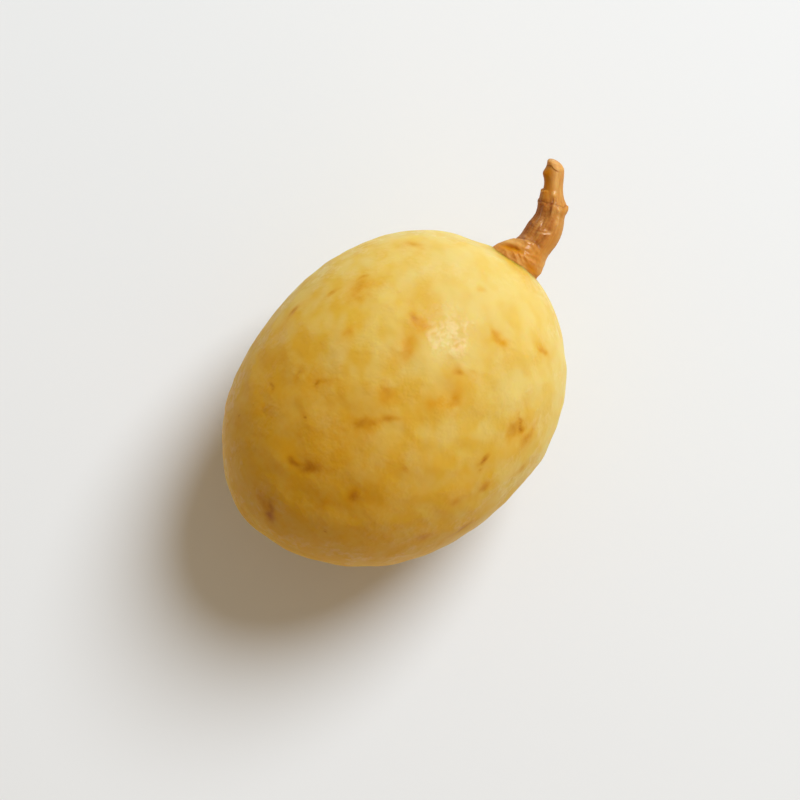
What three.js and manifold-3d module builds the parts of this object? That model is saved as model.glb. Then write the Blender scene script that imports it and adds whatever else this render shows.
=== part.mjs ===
// A peeled prairie turnip: one egg-shaped tuber lying on its side, with the dry stub of its stem.
// Millimetres and degrees, +Z up. +X runs along the tuber towards the stem, +Y is the side that the
// stem bends to, and the origin is the centre of the small flat spot that the tuber rests on.
import * as THREE from "three";
import { mergeVertices } from "three/addons/utils/BufferGeometryUtils.js";
import Module from "manifold-3d";

// ---- The tuber ----
const TUBER_LENGTH = 54;
const TUBER_WIDTH = 43.2;
const TUBER_HEIGHT = 41.6; // of the whole oval, before its underside is pressed flat
const REST_PRESS = 0.8; // how far the underside is pressed flat
const TUBER_SECTORS = 52; // facets round the tuber's long axis
const TUBER_BANDS = 34; // facets from the tail to the stem end

// Low swells and hollows of the skin. Each sits in one direction from the tuber's centre: "around" is
// turned from +X towards +Y, "up" is raised from the horizontal, and "spread" is the angle at which
// the swell has sunk to 60 % of its height.
const SWELLS = [
  { around: 21, up: 6, spread: 8, height: -0.4 },
  { around: 52, up: 0, spread: 17, height: 0.45 },
  { around: 106, up: 5, spread: 14, height: -0.55 },
  { around: 170, up: 0, spread: 9, height: 0.6 },
  { around: 206, up: -5, spread: 14, height: -0.35 },
  { around: 306, up: 0, spread: 14, height: 0.4 },
  { around: 348, up: 10, spread: 11, height: -0.3 },
  { around: 75, up: 48, spread: 16, height: 0.3 },
  { around: 150, up: 52, spread: 15, height: -0.25 },
  { around: 235, up: 45, spread: 17, height: 0.3 },
  { around: 320, up: 50, spread: 14, height: -0.25 },
  { around: 20, up: -45, spread: 16, height: 0.35 },
  { around: 140, up: -42, spread: 18, height: 0.3 },
  { around: 260, up: -38, spread: 15, height: -0.35 },
];

// ---- The stem ----
const COLLAR_HEIGHT = 3.1; // the fleshy foot that spreads over the skin
const SHAFT_LENGTH = 7.5; // the ribbed middle, where the stem bends
const UPPER_LENGTH = 5.8; // the thin end above the joint, up to the cut
const STEM_ROOT = 3; // extra length below the skin, which the tuber then trims
const STEM_AROUND = 7.5; // where it leaves the skin, turned from +X towards +Y
const STEM_UP = 3; // where it leaves the skin, raised from the horizontal
const COLLAR_HEADING = 4; // the collar's direction, turned from +X towards +Y
const UPPER_HEADING = 48; // the upper end's direction
const UPPER_CLIMB = 14; // how steeply the upper end climbs
const STEM_GAP = 0.3; // clearance between its foot and the tuber's skin
const FOOT_DIAMETER = 7.5; // of the collar where it meets the skin
const WAIST_DIAMETER = 5.2; // between the collar and the shaft
const SHAFT_DIAMETER = 5.6; // at its belly
const JOINT_DIAMETER = 4.6; // the ring where the bark above it fell away
const NECK_DIAMETER = 2.7; // the thin part above the joint
const KNOB_DIAMETER = 3.1; // the swelling below the cut
const STEM_SIDES = 20;
const STEM_STEPS = 36;

const COLORS = { tuber: 0xdcb75c, stem: 0xb5773c };

const radians = THREE.MathUtils.degToRad;
const tuberCentre = new THREE.Vector3(0, 0, TUBER_HEIGHT / 2 - REST_PRESS);

function direction(around, up) {
  return new THREE.Vector3(
    Math.cos(radians(up)) * Math.cos(radians(around)),
    Math.cos(radians(up)) * Math.sin(radians(around)),
    Math.sin(radians(up)),
  );
}

// How far the skin stands off the plain oval in a direction from the tuber's centre: a bell curve of
// the angle to each swell.
function swellHeight(towards) {
  return SWELLS.reduce((sum, swell) => {
    const angle = towards.angleTo(direction(swell.around, swell.up));
    return sum + swell.height * Math.exp(-0.5 * (angle / radians(swell.spread)) ** 2);
  }, 0);
}

// The skin's point for a unit direction on a sphere, which the oval's three half axes stretch.
function skinPoint(onSphere, standOff = 0) {
  const oval = new THREE.Vector3(TUBER_LENGTH / 2, TUBER_WIDTH / 2, TUBER_HEIGHT / 2).multiply(onSphere);
  const towards = oval.clone().normalize();
  return oval.addScaledVector(towards, swellHeight(towards) + standOff).add(tuberCentre);
}

function moveVertices(geometry, place) {
  const position = geometry.getAttribute("position");
  const vertex = new THREE.Vector3();
  for (let i = 0; i < position.count; i++) {
    vertex.fromBufferAttribute(position, i);
    position.setXYZ(i, ...place(vertex).toArray());
  }
  return geometry;
}

// A sphere whose poles lie on the X axis, carried onto the skin.
function skinGeometry(standOff = 0) {
  const sphere = new THREE.SphereGeometry(1, TUBER_SECTORS, TUBER_BANDS).rotateZ(-Math.PI / 2);
  return moveVertices(sphere, (vertex) => skinPoint(vertex.normalize(), standOff));
}

// The stem's centre line, from its buried root: straight through the collar, an even bend along the
// shaft, and straight again to the cut.
function stemPath() {
  const collarWay = direction(COLLAR_HEADING, 0);
  const upperWay = direction(UPPER_HEADING, UPPER_CLIMB);
  const skin = skinPoint(direction(STEM_AROUND, STEM_UP));
  const root = skin.clone().addScaledVector(collarWay, -STEM_ROOT);
  const collarTop = skin.clone().addScaledVector(collarWay, COLLAR_HEIGHT);
  const corner = collarTop.clone().addScaledVector(collarWay, SHAFT_LENGTH / 2);
  const joint = corner.clone().addScaledVector(upperWay, SHAFT_LENGTH / 2);
  const tip = joint.clone().addScaledVector(upperWay, UPPER_LENGTH);
  const path = new THREE.CurvePath();
  path.add(new THREE.LineCurve3(root, collarTop));
  path.add(new THREE.QuadraticBezierCurve3(collarTop, corner, joint));
  path.add(new THREE.LineCurve3(joint, tip));
  return path;
}

// The stem's outline, as points of (distance from the buried root, radius), and a smooth curve
// through them.
function stemProfile() {
  const collar = (share) => STEM_ROOT + share * COLLAR_HEIGHT;
  const shaft = (share) => collar(1) + share * SHAFT_LENGTH;
  const upper = (share) => shaft(1) + share * UPPER_LENGTH;
  const belly = (FOOT_DIAMETER + WAIST_DIAMETER) / 2;
  const taper = (SHAFT_DIAMETER + JOINT_DIAMETER) / 2;
  const shoulder = (JOINT_DIAMETER + NECK_DIAMETER) / 2;
  const stations = [
    [0, FOOT_DIAMETER],
    [collar(0), FOOT_DIAMETER],
    [collar(0.6), belly],
    [collar(1), WAIST_DIAMETER],
    [shaft(0.25), SHAFT_DIAMETER],
    [shaft(0.6), taper],
    [shaft(0.85), JOINT_DIAMETER],
    [upper(0), shoulder],
    [upper(0.4), NECK_DIAMETER],
    [upper(0.75), KNOB_DIAMETER],
    [upper(1), NECK_DIAMETER],
  ];
  return new THREE.SplineCurve(stations.map(([along, width]) => new THREE.Vector2(along, width / 2)));
}

// A closed cylinder of height 1 along Y, whose rings are carried along the path and given the
// profile's radius there.
function stemGeometry() {
  const path = stemPath();
  const profile = stemProfile();
  const fullLength = profile.getPoint(1).x;
  const up = new THREE.Vector3(0, 0, 1);
  const cylinder = new THREE.CylinderGeometry(1, 1, 1, STEM_SIDES, STEM_STEPS);
  return moveVertices(cylinder, (vertex) => {
    const ring = profile.getPoint(THREE.MathUtils.clamp(vertex.y + 0.5, 0, 1));
    const share = ring.x / fullLength;
    const tangent = path.getTangentAt(share);
    const side = new THREE.Vector3().crossVectors(up, tangent).normalize();
    const below = new THREE.Vector3().crossVectors(side, tangent);
    return path
      .getPointAt(share)
      .addScaledVector(side, vertex.x * ring.y)
      .addScaledVector(below, vertex.z * ring.y);
  });
}

// ---- Cutting one closed shape by another ----
const wasm = await Module();
wasm.setup();

function toSolid(geometry) {
  const bare = geometry.clone();
  bare.deleteAttribute("normal");
  bare.deleteAttribute("uv");
  const merged = mergeVertices(bare, 1e-3);
  return new wasm.Manifold(
    new wasm.Mesh({
      numProp: 3,
      vertProperties: merged.getAttribute("position").array,
      triVerts: new Uint32Array(merged.index.array),
    }),
  );
}

function toGeometry(solid) {
  const mesh = solid.getMesh();
  const geometry = new THREE.BufferGeometry()
    .setAttribute("position", new THREE.BufferAttribute(mesh.vertProperties, 3))
    .setIndex(new THREE.BufferAttribute(mesh.triVerts, 1));
  geometry.computeVertexNormals();
  return geometry;
}

function tuberSolid() {
  const side = 2 * TUBER_LENGTH;
  const belowTheFloor = new THREE.BoxGeometry(side, side, side).translate(0, 0, -side / 2);
  return toSolid(skinGeometry()).subtract(toSolid(belowTheFloor));
}

function stemSolid() {
  return toSolid(stemGeometry()).subtract(toSolid(skinGeometry(STEM_GAP)));
}

function piece(name, solid, roughness) {
  const material = new THREE.MeshStandardMaterial({ color: COLORS[name], roughness, metalness: 0 });
  const mesh = new THREE.Mesh(toGeometry(solid), material);
  mesh.name = name;
  return mesh;
}

const prairieTurnip = new THREE.Group();
prairieTurnip.add(piece("tuber", tuberSolid(), 0.4), piece("stem", stemSolid(), 0.65));

export default prairieTurnip;
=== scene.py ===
# %% [markdown]
# # A peeled prairie turnip
# The object is a root about the size of a hen's egg. It has been peeled, so the outside is damp, waxy
# flesh, and a short stub of its dry stem is still on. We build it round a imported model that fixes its
# size and place. Two pieces are new here: the tuber and the stem. Each one is a surface that numpy
# works out on a grid of two parameters, because a grown shape is easiest to say as a plain oval or a
# tube to which swells, hollows and wrinkles are added one at a time.

# %% The fixed model
import math
import bpy
import numpy as np
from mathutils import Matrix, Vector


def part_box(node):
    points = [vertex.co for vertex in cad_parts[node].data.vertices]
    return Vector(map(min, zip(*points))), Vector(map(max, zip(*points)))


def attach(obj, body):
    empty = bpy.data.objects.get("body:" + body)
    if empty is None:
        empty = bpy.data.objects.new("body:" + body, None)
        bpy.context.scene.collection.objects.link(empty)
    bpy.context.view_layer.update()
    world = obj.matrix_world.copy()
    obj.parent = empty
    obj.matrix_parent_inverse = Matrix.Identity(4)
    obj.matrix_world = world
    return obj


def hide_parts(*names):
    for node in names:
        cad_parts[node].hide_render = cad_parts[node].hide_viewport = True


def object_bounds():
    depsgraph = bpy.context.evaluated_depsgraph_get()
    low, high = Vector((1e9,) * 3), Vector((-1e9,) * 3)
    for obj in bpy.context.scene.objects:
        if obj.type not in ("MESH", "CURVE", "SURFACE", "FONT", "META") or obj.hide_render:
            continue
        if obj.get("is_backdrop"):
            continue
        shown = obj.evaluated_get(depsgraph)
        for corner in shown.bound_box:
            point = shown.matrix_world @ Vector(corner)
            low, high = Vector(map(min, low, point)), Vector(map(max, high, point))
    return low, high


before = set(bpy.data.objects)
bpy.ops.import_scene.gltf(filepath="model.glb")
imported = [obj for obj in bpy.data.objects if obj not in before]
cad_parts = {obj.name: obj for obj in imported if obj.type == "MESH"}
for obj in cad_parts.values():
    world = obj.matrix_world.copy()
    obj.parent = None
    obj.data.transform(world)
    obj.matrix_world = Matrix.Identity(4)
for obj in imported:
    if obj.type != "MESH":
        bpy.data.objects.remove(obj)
model_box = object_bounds()
print("the model's box:", model_box)

# %% [markdown]
# ## Units and two tools for grown shapes
# Blender works in metres, but a root is easier to think about in millimetres. So every shape below is
# worked out in millimetres and is turned to metres when its mesh is made. Real skin is never smooth:
# a sum of plane waves in random directions gives a soft random relief with one main distance from
# crest to crest, and a fixed seed gives the same relief each time.

# %% Millimetres, directions and random relief
MM = 0.001


def box_mm(node):
    """The lowest and highest corners of a model node, in millimetres."""
    low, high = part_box(node)
    return np.array(low) / MM, np.array(high) / MM


def unit(vectors):
    """The same vectors at length one."""
    return vectors / np.linalg.norm(vectors, axis=-1, keepdims=True)


def direction(around, up):
    """A unit vector turned from +X towards +Y by `around` and raised by `up`, both in degrees."""
    turn, rise = np.radians(around), np.radians(up)
    return np.array([np.cos(rise) * np.cos(turn), np.cos(rise) * np.sin(turn), np.sin(rise)])


def ripples(points, wavelength, seed, waves=48):
    """A soft random relief: the sum of cosines of plane waves in random directions, with lengths near
    `wavelength` (one number, or one for each axis), scaled so that it mostly lies between -1 and 1."""
    rng = np.random.default_rng(seed)
    headings = unit(rng.normal(size=(waves, 3)))
    turns = 2 * np.pi / rng.uniform(0.7, 1.4, (waves, 1)) * headings / wavelength
    phases = rng.uniform(0, 2 * np.pi, waves)
    flat = points.reshape(-1, 3) @ turns.T + phases
    return (np.cos(flat).sum(axis=1) / math.sqrt(2 * waves)).reshape(points.shape[:-1])


def ease(value, start, end):
    """0 before `start`, 1 after `end`, and the smooth S-curve 3t^2 - 2t^3 between them."""
    t = np.clip((value - start) / (end - start), 0, 1)
    return t * t * (3 - 2 * t)


# %% [markdown]
# ## The shape of the tuber
# A peeled root is close to an oval with three different half axes, pushed in and out by broad swells.
# The oval is a sphere grid with its poles on the long axis, stretched by the half axes: with the poles
# at the tail and under the stem, the grid's tight corners are where nobody looks. The swells repeat
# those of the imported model, and the result is fitted to that model's box.

# %% The plain oval and its swells
TUBER_RINGS = 268
TUBER_SECTORS = 364
OVAL = np.array([27.0, 21.6, 20.8])
REST_PRESS = 0.8
CENTRE = np.array([0.0, 0.0, OVAL[2] - REST_PRESS])

# around, up (degrees), spread (degrees), height (mm)
SWELLS = [
    (21, 6, 8, -0.4),
    (52, 0, 17, 0.45),
    (106, 5, 14, -0.55),
    (170, 0, 9, 0.6),
    (206, -5, 14, -0.35),
    (306, 0, 14, 0.4),
    (348, 10, 11, -0.3),
    (75, 48, 16, 0.3),
    (150, 52, 15, -0.25),
    (235, 45, 17, 0.3),
    (320, 50, 14, -0.25),
    (20, -45, 16, 0.35),
    (140, -42, 18, 0.3),
    (260, -38, 15, -0.35),
]


def swell_height(towards):
    """The broad swells: for each one, height x exp(-(angle / spread)^2 / 2) of the angle between a
    direction and the swell's own."""
    total = np.zeros(towards.shape[:-1])
    for around, up, spread, height in SWELLS:
        angle = np.degrees(np.arccos(np.clip(towards @ direction(around, up), -1, 1)))
        total += height * np.exp(-0.5 * (angle / spread) ** 2)
    return total


def oval_grid(rings, sectors):
    """Points of the swollen oval, rings x sectors x 3. `along` runs from the tail's pole to the stem's
    and `around` runs round the long axis: x = -cos(along), y and z = sin(along) x cos and sin(around),
    each times its half axis."""
    along = np.linspace(0, np.pi, rings)[:, None]
    around = np.linspace(0, 2 * np.pi, sectors, endpoint=False)[None, :]
    sphere = np.stack(
        [
            -np.cos(along) * np.ones_like(around),
            np.sin(along) * np.cos(around),
            np.sin(along) * np.sin(around),
        ],
        axis=-1,
    )
    oval = sphere * OVAL
    towards = unit(oval)
    outwards = unit(sphere / OVAL)
    return oval + towards * swell_height(towards)[..., None] + CENTRE, outwards


skin, outwards = oval_grid(TUBER_RINGS, TUBER_SECTORS)
print("tuber grid:", skin.shape, "from", skin.min(axis=(0, 1)), "to", skin.max(axis=(0, 1)))

# %% [markdown]
# ## Marks on the flesh
# Peeling leaves eyes, bruises and thin places where the darker layer under the skin shows through.
# They make this root itself, so the ones on its upper side are listed one by one. Each mark is a small
# oval patch with soft edges. The edges must not look drawn, so before a mark is measured the surface
# points are shifted by a random relief, which makes every outline ragged. The lower half, which lies
# out of sight, gets marks of the same kinds at random.

# %% The list of marks
# x, y (mm, seen from above), length, width (mm), turn (degrees from +X), strength
BROAD_OCHRE = [
    (-14.6, 1.4, 3.4, 2.4, 10, 0.5),
    (-13.5, 4.6, 3.4, 2.4, 0, 0.35),
    (-12.5, -7.0, 2.4, 1.8, -30, 0.75),
    (-6.0, 1.2, 2.8, 1.9, -20, 0.6),
    (-9.5, -0.5, 3.2, 1.8, 0, 0.25),
    (-15.5, -10.5, 2.2, 2.2, 0, 0.5),
    (-6.5, -7.5, 2.4, 2.0, 0, 0.3),
    (-11.0, 13.5, 4.0, 2.2, 0, 0.85),
    (-17.0, 9.5, 3.0, 2.6, 40, 0.2),
    (-6.5, 9.0, 2.2, 1.6, -40, 0.7),
    (7.0, 14.7, 2.2, 1.7, 0, 0.6),
    (0.5, -15.2, 3.8, 2.4, 0, 0.5),
    (10.3, -15.2, 2.4, 2.0, 0, 0.7),
    (5.5, -4.5, 2.6, 1.6, -10, 0.75),
    (-0.5, 1.3, 1.3, 1.3, 0, 0.45),
    (-17.0, -4.0, 1.3, 1.5, 0, 0.5),
    (6.5, 4.2, 2.2, 1.2, 10, 0.4),
    (10.0, 5.5, 1.2, 1.6, 0, 0.5),
    (12.0, 8.5, 2.6, 1.6, 20, 0.2),
    (15.5, 14.5, 2.4, 1.3, -20, 0.3),
    (20.3, -9.0, 1.5, 1.5, 0, 0.35),
    (-4.5, -19.5, 2.8, 1.2, 0, 0.5),
    (-9.0, -16.5, 2.0, 1.4, 0, 0.35),
    (-23.0, 1.0, 2.4, 2.6, 60, 0.6),
    (-20.0, 5.5, 3.0, 2.5, 40, 0.3),
    (1.5, 10.7, 1.4, 0.8, 20, 0.3),
    (-2.5, 18.2, 4.0, 1.0, 0, 0.5),
    (11.5, 18.0, 1.6, 0.8, -20, 0.5),
    (25.8, 3.5, 1.0, 3.6, 0, 0.8),
    (25.7, 5.0, 0.9, 1.5, 0, 0.8),
    (16.2, -3.4, 1.4, 1.8, 0, 0.3),
]
# x, y, length, width, turn, ochre, brown, depth (mm, and less than nothing where flesh stands up)
EYES = [
    (-15.9, 3.1, 0.8, 0.45, -50, 0.5, 0.95, 0.10),
    (-14.7, 0.8, 1.3, 0.8, -45, 0.7, 0.75, 0.10),
    (-23.7, -0.3, 1.2, 0.75, 10, 0.6, 1.2, 0.20),
    (-22.6, 0.4, 0.8, 0.5, 40, 0.6, 0.7, 0.12),
    (-23.0, 1.8, 1.2, 0.9, 60, 0.6, 0.3, 0.08),
    (-12.5, -6.3, 0.9, 0.7, -30, 0.8, 0.75, 0.12),
    (-11.8, -7.4, 1.0, 0.8, 0, 0.5, 0.15, 0.05),
    (-5.2, 0.7, 0.8, 0.5, -35, 0.8, 0.4, 0.08),
    (-4.2, -0.5, 0.7, 0.5, -35, 0.6, 0.2, 0.05),
    (-2.6, -1.6, 0.7, 0.5, -35, 0.8, 0.25, 0.05),
    (-0.3, 1.3, 0.7, 0.9, 0, 0.6, 0.15, 0.04),
    (-11.0, 13.2, 0.25, 0.7, -10, 0.6, 0.6, 0.08),
    (-14.3, 11.0, 0.3, 0.8, -10, 0.6, 0.35, 0.05),
    (-7.2, 11.4, 0.6, 0.25, 10, 0.6, 0.25, 0.05),
    (-6.4, 8.8, 0.4, 0.35, 0, 0.7, 0.5, 0.08),
    (-5.4, 8.2, 0.9, 0.35, -40, 0.6, 0.15, 0.05),
    (-2.0, 18.5, 0.6, 0.35, -10, 0.7, 0.6, 0.10),
    (3.6, 16.5, 0.6, 0.25, -15, 0.6, 0.3, 0.05),
    (6.9, 14.4, 1.3, 0.9, 20, 0.7, 0.15, 0.10),
    (8.5, 15.2, 0.6, 0.25, 0, 0.5, 0.25, 0.03),
    (9.6, 6.3, 0.4, 0.5, 0, 0.8, 0.45, 0.12),
    (9.8, 5.2, 0.45, 0.7, 10, 0.8, 0.06, 0.08),
    (5.7, 4.0, 1.0, 0.5, 15, 0.9, 0.08, 0.12),
    (7.2, 4.4, 0.7, 0.4, 10, 0.6, 0.05, 0.06),
    (1.5, 10.8, 0.7, 0.3, 25, 0.5, 0.1, 0.04),
    (19.2, 3.6, 0.5, 0.4, 20, 0.35, 0.0, 0.04),
    (16.4, -2.6, 0.4, 0.8, -25, 0.9, 0.1, 0.12),
    (15.8, -3.6, 0.5, 0.8, 0, 1.0, 0.08, 0.14),
    (16.2, -4.9, 0.5, 0.4, -20, 0.9, 0.1, 0.10),
    (9.0, -3.0, 0.35, 0.55, -10, 0.8, 0.3, 0.08),
    (5.9, -5.0, 0.9, 0.4, -15, 0.9, 0.1, 0.08),
    (3.4, -3.9, 0.8, 0.6, 0, 0.5, 0.0, 0.05),
    (-4.8, -7.7, 0.35, 0.5, 0, 0.6, 0.3, 0.05),
    (-17.2, -3.8, 0.7, 1.1, 0, 0.6, 0.15, 0.08),
    (-19.2, -6.9, 0.18, 0.18, 0, 0.3, 1.0, 0.05),
    (3.9, -14.2, 0.6, 0.35, 10, 0.8, 1.1, 0.10),
    (2.9, -15.3, 0.4, 0.16, 10, 0.5, 0.9, 0.05),
    (1.3, -17.0, 0.8, 0.4, 10, 0.7, 0.4, 0.08),
    (10.9, -14.8, 0.45, 0.45, 0, 0.9, 1.2, 0.14),
    (11.2, -13.9, 0.2, 0.8, -25, 0.8, 0.6, 0.10),
    (9.6, -14.2, 1.0, 0.7, 20, 0.8, 0.3, 0.08),
    (10.6, -16.4, 1.4, 0.6, 5, 0.8, 0.3, 0.08),
    (-2.8, -15.7, 0.7, 0.5, 0, 0.5, 0.2, 0.05),
    (16.6, 14.2, 0.4, 0.8, 30, 0.6, 0.2, 0.08),
    (-9.3, -16.8, 0.9, 0.5, 0, 0.5, 0.3, 0.06),
    (-5.0, -19.8, 1.5, 0.5, 0, 0.5, 0.4, 0.08),
    (6.8, -19.2, 0.6, 0.5, 0, 0.6, 0.2, 0.05),
    (20.2, -8.8, 0.5, 1.0, 10, 0.7, 0.2, 0.08),
    (-10.4, 6.3, 0.2, 0.2, 0, 0.3, 0.6, 0.03),
    (-17.5, 13.0, 0.25, 0.25, 0, 0.3, 0.5, 0.04),
    (11.5, -0.2, 0.4, 0.5, 0, 0.3, 0.0, 0.05),
    (26.2, 2.0, 0.45, 0.4, 0, 0.0, 0.0, -0.22),
    (25.5, 3.3, 0.5, 0.4, 20, 0.3, 0.0, -0.14),
    (25.0, 5.0, 0.6, 0.4, 0, 0.3, 0.0, -0.12),
    (26.0, 0.4, 0.5, 0.4, 0, 0.2, 0.0, -0.14),
    (25.9, 4.6, 0.3, 0.5, 20, 0.7, 0.0, -0.10),
    (25.6, 5.6, 0.3, 0.6, 0, 0.7, 0.0, 0.10),
]
# Pale patches are cream flesh in part and painted highlight in part: those at (18.5, 7), (15, 1.5), (10,
# -0.5), (13.5, 11), (-3.6, -6.9) and (-6, -2), and the one on the raised bump at (26.2, 2), are painted
# highlight laid where the lamp's glints fall on the flesh.
# x, y, length, width, turn, strength
PALE_AND_HIGHLIGHT = [
    (-12.0, 9.0, 2.2, 1.8, 0, 0.35),
    (-9.5, 3.8, 0.6, 0.6, 0, 0.7),
    (-7.9, 5.0, 1.4, 1.1, 0, 0.45),
    (9.4, 17.0, 1.2, 1.1, 0, 0.5),
    (7.6, 12.5, 1.4, 0.8, 10, 0.6),
    (-2.0, 9.4, 1.6, 1.0, 20, 0.6),
    (4.5, 6.0, 1.8, 1.2, 20, 0.5),
    (5.0, 2.0, 1.6, 1.0, 0, 0.5),
    (-3.6, -6.9, 0.9, 0.8, 0, 0.8),
    (-20.5, -8.0, 2.0, 2.0, 0, 0.25),
    (-8.0, -11.0, 2.4, 1.4, 0, 0.3),
    (18.5, 7.0, 3.5, 4.0, 0, 0.4),
    (15.0, 1.5, 3.0, 2.5, 0, 0.5),
    (10.0, -0.5, 2.6, 2.6, 0, 0.4),
    (-6.0, -2.0, 1.2, 0.8, 0, 0.6),
    (-8.5, -4.5, 2.0, 1.2, 0, 0.4),
    (13.5, 11.0, 2.2, 1.2, 40, 0.4),
    (-19.5, 2.5, 1.2, 1.4, 0, 0.2),
    (3.5, -8.5, 4.0, 1.6, 0, 0.4),
    (12.5, -9.5, 3.0, 2.0, 0, 0.4),
    (-6.0, 16.8, 2.2, 0.8, 0, 0.4),
    (-22.5, 8.0, 2.0, 2.5, 50, 0.3),
    (26.2, 2.0, 0.5, 0.5, 0, 1.0),
]


def patch(points, centre, length, width, turn):
    """How strongly a mark covers each point, from 0 to 1: exp(-r^2 / 2), where r is the distance from
    the mark's centre, measured in lengths along the mark, in widths across it, and upright in steps of
    2 widths and a millimetre, so that a mark reaches points that the swells have moved."""
    middle = unit((centre - CENTRE) / OVAL**2)
    across = unit(np.cross(middle, direction(turn, 0)))
    along = np.cross(across, middle)
    away = points - centre
    r2 = (away @ along / length) ** 2 + (away @ across / width) ** 2
    r2 += (away @ middle / (2 * width + 1)) ** 2
    return np.exp(-0.5 * r2)


def on_top(x, y):
    """The point of the plain oval straight above (x, y)."""
    rise = math.sqrt(max(0.0, 1 - (x / OVAL[0]) ** 2 - (y / OVAL[1]) ** 2))
    return CENTRE + np.array([x, y, rise * OVAL[2]])


def random_below(rng):
    """A point of the plain oval in a random direction on its lower half."""
    heading = unit(rng.normal(size=3))
    heading[2] = -abs(heading[2]) - 0.05
    return CENTRE + OVAL * unit(heading)


# %% The points that marks are measured from
# distance from crest to crest (mm), shift (mm), seeds for x, y and z
RAGGEDNESS = [
    (1.6, 0.22, (11, 12, 13)),
    (5.0, 0.5, (14, 15, 16)),
]
ragged = skin.copy()
for wavelength, shift, seeds in RAGGEDNESS:
    ragged += np.stack([ripples(skin, wavelength, seed) for seed in seeds], axis=-1) * shift
print("marks are shifted by up to", round(np.abs(ragged - skin).max(), 2), "mm")

# %% Marks on the upper side
# What a mark of strength one lays down.
BROAD_STAIN = 0.75
EYE_STAIN, EYE_BROWN, EYE_DEPTH = 1.6, 0.95, 0.5
ochre = np.zeros(skin.shape[:-1])
brown = np.zeros_like(ochre)
pale = np.zeros_like(ochre)
pits = np.zeros_like(ochre)

for x, y, length, width, turn, strength in BROAD_OCHRE:
    ochre += BROAD_STAIN * strength * patch(ragged, on_top(x, y), length, width, turn)
for x, y, length, width, turn, stain, core, depth in EYES:
    cover = patch(ragged, on_top(x, y), length, width, turn)
    ochre += EYE_STAIN * stain * cover
    brown += EYE_BROWN * core * cover**2
    pits += EYE_DEPTH * depth * cover
# The pale patches, cream flesh and painted highlight, add up into one layer.
for x, y, length, width, turn, strength in PALE_AND_HIGHLIGHT:
    pale += strength * patch(ragged, on_top(x, y), length, width, turn)
print("placed by hand:", len(BROAD_OCHRE), "broad,", len(EYES), "eyes,", len(PALE_AND_HIGHLIGHT), "pale")

# %% Tints of the flesh as a whole
# It is palest near the stem and deepest near the tail. The places are in mm along x.
PALE_EVERYWHERE = 0.05
PALE_AT_STEM, PALE_STARTS, PALE_ENDS = 0.6, 1, 23
OCHRE_AT_TAIL, OCHRE_STARTS, OCHRE_ENDS = 1.05, -25, 7
pale += PALE_EVERYWHERE + PALE_AT_STEM * ease(skin[..., 0], PALE_STARTS, PALE_ENDS)
ochre += OCHRE_AT_TAIL * (1 - ease(skin[..., 0], OCHRE_STARTS, OCHRE_ENDS))

# A thin ring of ochre and brown lies where the stem leaves the flesh: partly the ochre layer left there,
# partly painted shade in the crease where the collar meets the flesh.
FOOT = np.array([26.8, 3.0, 21.1])
FOOT_RING, RING_SPREAD = 3.8, 0.6
RING_OCHRE_AND_SHADE, RING_BROWN_AND_SHADE = 0.6, 0.25
from_foot = np.linalg.norm(skin - FOOT, axis=-1)
ring = np.exp(-0.5 * ((from_foot - FOOT_RING) / RING_SPREAD) ** 2)
ochre += RING_OCHRE_AND_SHADE * ring
brown += RING_BROWN_AND_SHADE * ring
print("the ring reaches", np.count_nonzero(ring > 0.5), "points")

# %% Marks on the lower side
# Lengths and widths are drawn in mm, and strengths and depths as in the lists above.
HIDDEN_BROAD, HIDDEN_EYES, HIDDEN_PALE = 26, 44, 22
HIDDEN_SEED = 5
rng = np.random.default_rng(HIDDEN_SEED)
for _ in range(HIDDEN_BROAD):
    length, width = rng.uniform(1.4, 3.4, 2)
    strength = rng.uniform(0.3, 0.6)
    ochre += strength * patch(ragged, random_below(rng), length, width, rng.uniform(0, 180))
for _ in range(HIDDEN_EYES):
    length = rng.uniform(0.3, 1.1)
    width = length * rng.uniform(0.5, 1.0)
    cover = patch(ragged, random_below(rng), length, width, rng.uniform(0, 180))
    ochre += rng.uniform(0.5, 0.9) * cover
    brown += rng.uniform(0.0, 0.8) * cover**2
    pits += rng.uniform(0.02, 0.07) * cover
for _ in range(HIDDEN_PALE):
    length, width = rng.uniform(1.0, 2.8, 2)
    strength = rng.uniform(0.4, 0.7)
    pale += strength * patch(ragged, random_below(rng), length, width, rng.uniform(0, 180))
print("drawn at random:", HIDDEN_BROAD, "broad,", HIDDEN_EYES, "eyes,", HIDDEN_PALE, "pale")

# %% [markdown]
# ## Relief of the flesh
# Between the marks a knife and a thumb have left the flesh softly uneven: lumps as wide as a
# fingertip, smaller dimples, and fine wrinkles that run round the root. The relief moves each grid
# point along the oval's outward direction. At last the underside is pressed flat: the height is
# replaced by a soft maximum of itself and zero, so the rim of the flat spot is rounded as soft flesh
# is.

# %% Lumps, dimples, wrinkles and the flat spot
# height (mm), distance from crest to crest (mm, or one for each axis), seed
FLESH_RELIEF = [
    (0.11, 11.0, 21),
    (0.075, 5.0, 22),
    (0.028, 2.4, 23),
    (0.006, np.array([1.1, 2.6, 2.6]), 24),
]
relief = np.zeros_like(pits)
for height, wavelength, seed in FLESH_RELIEF:
    relief += height * ripples(skin, wavelength, seed)
relief -= pits
skin = skin + outwards * relief[..., None]

PRESS_ROUNDING = 0.12
heights = skin[..., 2]
skin[..., 2] = (heights + np.sqrt(heights**2 + 4 * PRESS_ROUNDING**2)) / 2

low, high = box_mm("tuber")
skin_low, skin_high = skin.min(axis=(0, 1)), skin.max(axis=(0, 1))
skin = low + (skin - skin_low) * (high - low) / (skin_high - skin_low)
print("relief from", relief.min(), "to", relief.max(), "mm; fitted to", low, high)

# %% [markdown]
# ## From a grid to a closed mesh
# Both pieces are rings of points that wrap round, with one point closing each end. One helper turns
# such a grid into a mesh, so the seam and both ends are closed by construction. If the enclosed volume
# comes out negative, the faces point inwards and every one is turned over.

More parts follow.
